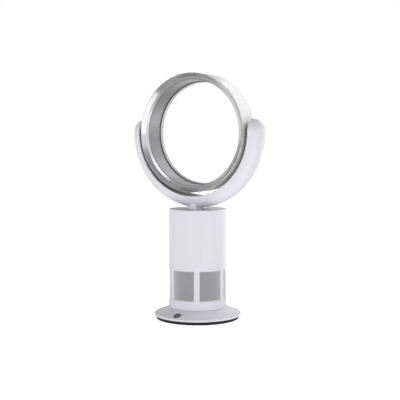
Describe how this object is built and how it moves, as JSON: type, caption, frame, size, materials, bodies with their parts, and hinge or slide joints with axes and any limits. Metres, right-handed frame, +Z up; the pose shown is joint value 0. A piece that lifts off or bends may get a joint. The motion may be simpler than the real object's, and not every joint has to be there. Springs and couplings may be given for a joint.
{
  "type": "bladeless fan",
  "caption": "Bladeless table fan: round base with a button, drum body with mesh air intakes, and a U-shaped yoke carrying a tilting air ring.",
  "frame": {"origin": "middle of the rubber foot's underside, on the body's axis", "axes": "+Z up along the body's axis; front with the button and the ring's outlet towards -Y; tilt axis along X"},
  "size_m": [0.352, 0.2062, 0.579],
  "materials": {
    "white_plastic": "fine satin moulded plastic",
    "cap_plastic": "satin moulded plastic, a shade darker",
    "cover_plastic": "satin moulded plastic",
    "grille_plastic": "moulded mesh",
    "silver_finish": "satin silver paint on plastic",
    "bezel_finish": "bright silver finish on plastic",
    "ring_white": "satin moulded plastic",
    "black_rubber": "moulded rubber",
    "black_plastic": "moulded plastic",
    "grey_plastic": "moulded plastic",
    "washer_felt": "felt",
    "net_fabric": "woven nylon net",
    "acetal": "natural acetal",
    "structure_plastic": "moulded plastic",
    "mount_rubber": "soft rubber",
    "ballast_iron": "cast, painted",
    "steel": "zinc plated",
    "magnet": "bonded magnet",
    "copper": "enamelled wire",
    "circuit_board": "laminate with parts"
  },
  "bodies": {
    "base": {"rubber_foot": "black_rubber", "base_plate": "structure_plastic", "ballast_ring": "ballast_iron", "base_cover": "white_plastic", "base_screws": "steel", "button_switch": "circuit_board", "power_inlet": "black_plastic", "pivot_post": "steel", "swing_gear": "acetal", "glide_ring": "acetal", "swivel_retainer": "steel"},
    "button": {"power_button": "black_plastic"},
    "body": {"air_collector": "structure_plastic", "body_floor": "structure_plastic", "body_screws": "steel", "body_shell": "white_plastic", "control_board": "circuit_board", "diffuser": "structure_plastic", "dust_net": "net_fabric", "inlet_bellmouth": "structure_plastic", "intake_grille_1": "grille_plastic", "intake_grille_2": "grille_plastic", "intake_grille_3": "grille_plastic", "intake_grille_4": "grille_plastic", "intake_grille_5": "grille_plastic", "intake_grille_6": "grille_plastic", "lower_bearing": "steel", "motor_cap": "structure_plastic", "motor_coils": "copper", "motor_stator": "steel", "neck": "white_plastic", "neck_screws": "steel", "pivot_bush_left": "acetal", "pivot_bush_right": "acetal", "rubber_mount": "mount_rubber", "swing_motor": "steel", "swivel_bush": "acetal", "top_cover": "cover_plastic", "upper_bearing": "steel", "yoke_cap_left": "cap_plastic", "yoke_cap_right": "cap_plastic", "yoke_frame": "grey_plastic", "yoke_front_shell": "white_plastic", "yoke_rear_shell": "white_plastic"},
    "pinion": {"swing_pinion": "acetal"},
    "blower": {"impeller": "structure_plastic", "motor_shaft": "steel", "motor_rotor": "magnet"},
    "ring": {"ring_outer_shell": "ring_white", "front_bezel": "bezel_finish", "ring_inner_shell": "silver_finish", "rear_rim": "ring_white", "slot_lip": "ring_white", "trunnion_left": "grey_plastic", "trunnion_right": "grey_plastic", "friction_washer_left": "washer_felt", "friction_washer_right": "washer_felt", "pivot_clip_left": "steel", "pivot_clip_right": "steel"}
  },
  "joints": [
    {"name": "swivel", "type": "hinge", "parent": "base", "child": "body", "pos_m": [0, 0, 0.0274], "axis": [0, 0, 1], "range_deg": [-45, 45]},
    {"name": "pinion_spin", "type": "hinge", "parent": "body", "child": "pinion", "pos_m": [0, 0.03605, 0.016], "axis": [0, 0, 1], "range_deg": [-225.5, 225.5]},
    {"name": "blower_spin", "type": "hinge", "parent": "body", "child": "blower", "pos_m": [0, 0, 0.15], "axis": [0, 0, 1], "continuous": true},
    {"name": "ring_tilt", "type": "hinge", "parent": "body", "child": "ring", "pos_m": [0, 0, 0.4397], "axis": [1, 0, 0], "range_deg": [-45, 45]},
    {"name": "button_press", "type": "slide", "parent": "base", "child": "button", "axis": [0, 0.376, -0.9266], "range_m": [0, 0.0008], "stiffness_N_per_m": 1200, "springref_m": -0.001}
  ],
  "couplings": [
    {"joint": "pinion_spin", "follows": "swivel", "ratio": 5}
  ]
}
